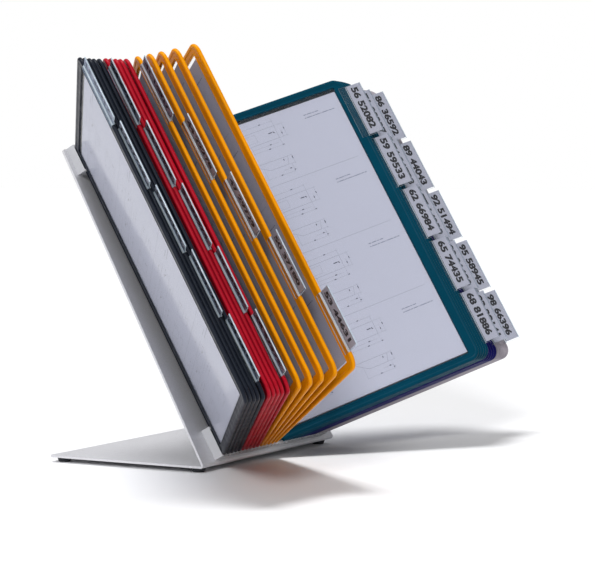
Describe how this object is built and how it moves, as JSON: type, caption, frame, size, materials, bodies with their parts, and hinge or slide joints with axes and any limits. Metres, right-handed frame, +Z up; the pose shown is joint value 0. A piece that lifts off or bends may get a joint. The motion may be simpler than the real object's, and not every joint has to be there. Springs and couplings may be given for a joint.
{
  "type": "flip panel display stand",
  "caption": "Desktop flip display: framed clear pockets for office sheets, hinged like book pages on a leaning bent metal stand, with index tabs down their outer edges.",
  "frame": {"origin": "on the table, at the middle of the whole object's footprint box", "axes": "+Z up; -Y towards the reader; +X to the reader's right, along the bend and the rows of hinge rods"},
  "size_m": [0.6034, 0.3352, 0.3785],
  "materials": {
    "stand_coating": "fine textured silver powder coat",
    "rail_plastic": "satin moulded plastic",
    "screw_steel": "zinc plated",
    "rod_steel": "drawn wire",
    "foot_rubber": "matt moulded rubber",
    "frame_black": "satin moulded polypropylene",
    "frame_red": "satin moulded polypropylene",
    "frame_yellow": "satin moulded polypropylene",
    "frame_teal": "satin moulded polypropylene",
    "frame_blue": "satin moulded polypropylene",
    "frame_grey": "satin moulded polypropylene",
    "clear_film": "clear film with a fine anti-glare grain",
    "clear_tab": "clear extruded plastic",
    "paper": "printed office paper",
    "card": "printed card"
  },
  "bodies": {
    "stand": {"stand_sheet": "stand_coating", "lower_rail": "rail_plastic", "upper_rail": "rail_plastic", "rail_screws": "screw_steel", "hinge_rods": "rod_steel", "foot_front_left": "foot_rubber", "foot_front_right": "foot_rubber", "foot_rear_left": "foot_rubber", "foot_rear_right": "foot_rubber"},
    "black_1": {"black_1_panel": "frame_black"},
    "black_2": {"black_2_panel": "frame_black"},
    "black_3": {"black_3_panel": "frame_black"},
    "black_4": {"black_4_panel": "frame_black"},
    "black_5": {"black_5_panel": "frame_black"},
    "red_1": {"red_1_panel": "frame_red"},
    "red_2": {"red_2_panel": "frame_red"},
    "red_3": {"red_3_panel": "frame_red"},
    "red_4": {"red_4_panel": "frame_red"},
    "red_5": {"red_5_panel": "frame_red"},
    "yellow_1": {"yellow_1_panel": "frame_yellow"},
    "yellow_2": {"yellow_2_panel": "frame_yellow"},
    "yellow_3": {"yellow_3_panel": "frame_yellow"},
    "yellow_4": {"yellow_4_panel": "frame_yellow"},
    "yellow_5": {"yellow_5_frame": "frame_yellow", "yellow_5_pocket": "clear_film", "yellow_5_sheet": "paper", "yellow_5_tab": "clear_tab", "yellow_5_label": "card"},
    "teal_1": {"teal_1_frame": "frame_teal", "teal_1_pocket": "clear_film", "teal_1_sheet": "paper", "teal_1_tab": "clear_tab", "teal_1_label": "card"},
    "teal_2": {"teal_2_panel": "frame_teal"},
    "teal_3": {"teal_3_panel": "frame_teal"},
    "teal_4": {"teal_4_panel": "frame_teal"},
    "teal_5": {"teal_5_panel": "frame_teal"},
    "blue_1": {"blue_1_panel": "frame_blue"},
    "blue_2": {"blue_2_panel": "frame_blue"},
    "blue_3": {"blue_3_panel": "frame_blue"},
    "blue_4": {"blue_4_panel": "frame_blue"},
    "blue_5": {"blue_5_panel": "frame_blue"},
    "grey_1": {"grey_1_panel": "frame_grey"},
    "grey_2": {"grey_2_panel": "frame_grey"},
    "grey_3": {"grey_3_panel": "frame_grey"},
    "grey_4": {"grey_4_panel": "frame_grey"},
    "grey_5": {"grey_5_panel": "frame_grey"}
  },
  "joints": [
    {"name": "black_1_hinge", "type": "hinge", "parent": "stand", "child": "black_1", "pos_m": [-0.10209, 0.07707, 0.15175], "axis": [0, 0.4985, 0.8669], "range_deg": [0, 44]},
    {"name": "black_2_hinge", "type": "hinge", "parent": "stand", "child": "black_2", "pos_m": [-0.09536, 0.07707, 0.15175], "axis": [0, 0.4985, 0.8669], "range_deg": [0, 44]},
    {"name": "black_3_hinge", "type": "hinge", "parent": "stand", "child": "black_3", "pos_m": [-0.08863, 0.07707, 0.15175], "axis": [0, 0.4985, 0.8669], "range_deg": [0, 44]},
    {"name": "black_4_hinge", "type": "hinge", "parent": "stand", "child": "black_4", "pos_m": [-0.0819, 0.07707, 0.15175], "axis": [0, 0.4985, 0.8669], "range_deg": [0, 44]},
    {"name": "black_5_hinge", "type": "hinge", "parent": "stand", "child": "black_5", "pos_m": [-0.07517, 0.07707, 0.15175], "axis": [0, 0.4985, 0.8669], "range_deg": [0, 44]},
    {"name": "red_1_hinge", "type": "hinge", "parent": "stand", "child": "red_1", "pos_m": [-0.06844, 0.07707, 0.15175], "axis": [0, 0.4985, 0.8669], "range_deg": [0, 44]},
    {"name": "red_2_hinge", "type": "hinge", "parent": "stand", "child": "red_2", "pos_m": [-0.06171, 0.07707, 0.15175], "axis": [0, 0.4985, 0.8669], "range_deg": [0, 44]},
    {"name": "red_3_hinge", "type": "hinge", "parent": "stand", "child": "red_3", "pos_m": [-0.05498, 0.07707, 0.15175], "axis": [0, 0.4985, 0.8669], "range_deg": [0, 44]},
    {"name": "red_4_hinge", "type": "hinge", "parent": "stand", "child": "red_4", "pos_m": [-0.04825, 0.07707, 0.15175], "axis": [0, 0.4985, 0.8669], "range_deg": [0, 44]},
    {"name": "red_5_hinge", "type": "hinge", "parent": "stand", "child": "red_5", "pos_m": [-0.04152, 0.07707, 0.15175], "axis": [0, 0.4985, 0.8669], "range_deg": [0, 44]},
    {"name": "yellow_1_hinge", "type": "hinge", "parent": "stand", "child": "yellow_1", "pos_m": [-0.03479, 0.07707, 0.15175], "axis": [0, 0.4985, 0.8669], "range_deg": [0, 44]},
    {"name": "yellow_2_hinge", "type": "hinge", "parent": "stand", "child": "yellow_2", "pos_m": [-0.02806, 0.07707, 0.15175], "axis": [0, 0.4985, 0.8669], "range_deg": [0, 44]},
    {"name": "yellow_3_hinge", "type": "hinge", "parent": "stand", "child": "yellow_3", "pos_m": [-0.02133, 0.07707, 0.15175], "axis": [0, 0.4985, 0.8669], "range_deg": [0, 44]},
    {"name": "yellow_4_hinge", "type": "hinge", "parent": "stand", "child": "yellow_4", "pos_m": [-0.0146, 0.07707, 0.15175], "axis": [0, 0.4985, 0.8669], "range_deg": [0, 44]},
    {"name": "yellow_5_hinge", "type": "hinge", "parent": "stand", "child": "yellow_5", "pos_m": [-0.00787, 0.07707, 0.15175], "axis": [0, 0.4985, 0.8669], "range_deg": [0, 44]},
    {"name": "teal_1_hinge", "type": "hinge", "parent": "stand", "child": "teal_1", "pos_m": [-0.00114, 0.07707, 0.15175], "axis": [0, 0.4985, 0.8669], "range_deg": [-44, 0]},
    {"name": "teal_2_hinge", "type": "hinge", "parent": "stand", "child": "teal_2", "pos_m": [0.00559, 0.07707, 0.15175], "axis": [0, 0.4985, 0.8669], "range_deg": [-44, 0]},
    {"name": "teal_3_hinge", "type": "hinge", "parent": "stand", "child": "teal_3", "pos_m": [0.01232, 0.07707, 0.15175], "axis": [0, 0.4985, 0.8669], "range_deg": [-44, 0]},
    {"name": "teal_4_hinge", "type": "hinge", "parent": "stand", "child": "teal_4", "pos_m": [0.01905, 0.07707, 0.15175], "axis": [0, 0.4985, 0.8669], "range_deg": [-44, 0]},
    {"name": "teal_5_hinge", "type": "hinge", "parent": "stand", "child": "teal_5", "pos_m": [0.02578, 0.07707, 0.15175], "axis": [0, 0.4985, 0.8669], "range_deg": [-44, 0]},
    {"name": "blue_1_hinge", "type": "hinge", "parent": "stand", "child": "blue_1", "pos_m": [0.03251, 0.07707, 0.15175], "axis": [0, 0.4985, 0.8669], "range_deg": [-44, 0]},
    {"name": "blue_2_hinge", "type": "hinge", "parent": "stand", "child": "blue_2", "pos_m": [0.03924, 0.07707, 0.15175], "axis": [0, 0.4985, 0.8669], "range_deg": [-44, 0]},
    {"name": "blue_3_hinge", "type": "hinge", "parent": "stand", "child": "blue_3", "pos_m": [0.04597, 0.07707, 0.15175], "axis": [0, 0.4985, 0.8669], "range_deg": [-44, 0]},
    {"name": "blue_4_hinge", "type": "hinge", "parent": "stand", "child": "blue_4", "pos_m": [0.0527, 0.07707, 0.15175], "axis": [0, 0.4985, 0.8669], "range_deg": [-44, 0]},
    {"name": "blue_5_hinge", "type": "hinge", "parent": "stand", "child": "blue_5", "pos_m": [0.05943, 0.07707, 0.15175], "axis": [0, 0.4985, 0.8669], "range_deg": [-44, 0]},
    {"name": "grey_1_hinge", "type": "hinge", "parent": "stand", "child": "grey_1", "pos_m": [0.06616, 0.07707, 0.15175], "axis": [0, 0.4985, 0.8669], "range_deg": [-44, 0]},
    {"name": "grey_2_hinge", "type": "hinge", "parent": "stand", "child": "grey_2", "pos_m": [0.07289, 0.07707, 0.15175], "axis": [0, 0.4985, 0.8669], "range_deg": [-44, 0]},
    {"name": "grey_3_hinge", "type": "hinge", "parent": "stand", "child": "grey_3", "pos_m": [0.07962, 0.07707, 0.15175], "axis": [0, 0.4985, 0.8669], "range_deg": [-44, 0]},
    {"name": "grey_4_hinge", "type": "hinge", "parent": "stand", "child": "grey_4", "pos_m": [0.08635, 0.07707, 0.15175], "axis": [0, 0.4985, 0.8669], "range_deg": [-44, 0]},
    {"name": "grey_5_hinge", "type": "hinge", "parent": "stand", "child": "grey_5", "pos_m": [0.09308, 0.07707, 0.15175], "axis": [0, 0.4985, 0.8669], "range_deg": [-44, 0]}
  ],
  "couplings": [
    {"joint": "black_2_hinge", "follows": "black_1_hinge", "ratio": 1},
    {"joint": "black_3_hinge", "follows": "black_1_hinge", "ratio": 1},
    {"joint": "black_4_hinge", "follows": "black_1_hinge", "ratio": 1},
    {"joint": "black_5_hinge", "follows": "black_1_hinge", "ratio": 1},
    {"joint": "red_1_hinge", "follows": "black_1_hinge", "ratio": 1},
    {"joint": "red_2_hinge", "follows": "black_1_hinge", "ratio": 1},
    {"joint": "red_3_hinge", "follows": "black_1_hinge", "ratio": 1},
    {"joint": "red_4_hinge", "follows": "black_1_hinge", "ratio": 1},
    {"joint": "red_5_hinge", "follows": "black_1_hinge", "ratio": 1},
    {"joint": "yellow_1_hinge", "follows": "black_1_hinge", "ratio": 1},
    {"joint": "yellow_2_hinge", "follows": "black_1_hinge", "ratio": 1},
    {"joint": "yellow_3_hinge", "follows": "black_1_hinge", "ratio": 1},
    {"joint": "yellow_4_hinge", "follows": "black_1_hinge", "ratio": 1},
    {"joint": "yellow_5_hinge", "follows": "black_1_hinge", "ratio": 1},
    {"joint": "teal_1_hinge", "follows": "grey_5_hinge", "ratio": 1},
    {"joint": "teal_2_hinge", "follows": "grey_5_hinge", "ratio": 1},
    {"joint": "teal_3_hinge", "follows": "grey_5_hinge", "ratio": 1},
    {"joint": "teal_4_hinge", "follows": "grey_5_hinge", "ratio": 1},
    {"joint": "teal_5_hinge", "follows": "grey_5_hinge", "ratio": 1},
    {"joint": "blue_1_hinge", "follows": "grey_5_hinge", "ratio": 1},
    {"joint": "blue_2_hinge", "follows": "grey_5_hinge", "ratio": 1},
    {"joint": "blue_3_hinge", "follows": "grey_5_hinge", "ratio": 1},
    {"joint": "blue_4_hinge", "follows": "grey_5_hinge", "ratio": 1},
    {"joint": "blue_5_hinge", "follows": "grey_5_hinge", "ratio": 1},
    {"joint": "grey_1_hinge", "follows": "grey_5_hinge", "ratio": 1},
    {"joint": "grey_2_hinge", "follows": "grey_5_hinge", "ratio": 1},
    {"joint": "grey_3_hinge", "follows": "grey_5_hinge", "ratio": 1},
    {"joint": "grey_4_hinge", "follows": "grey_5_hinge", "ratio": 1}
  ]
}
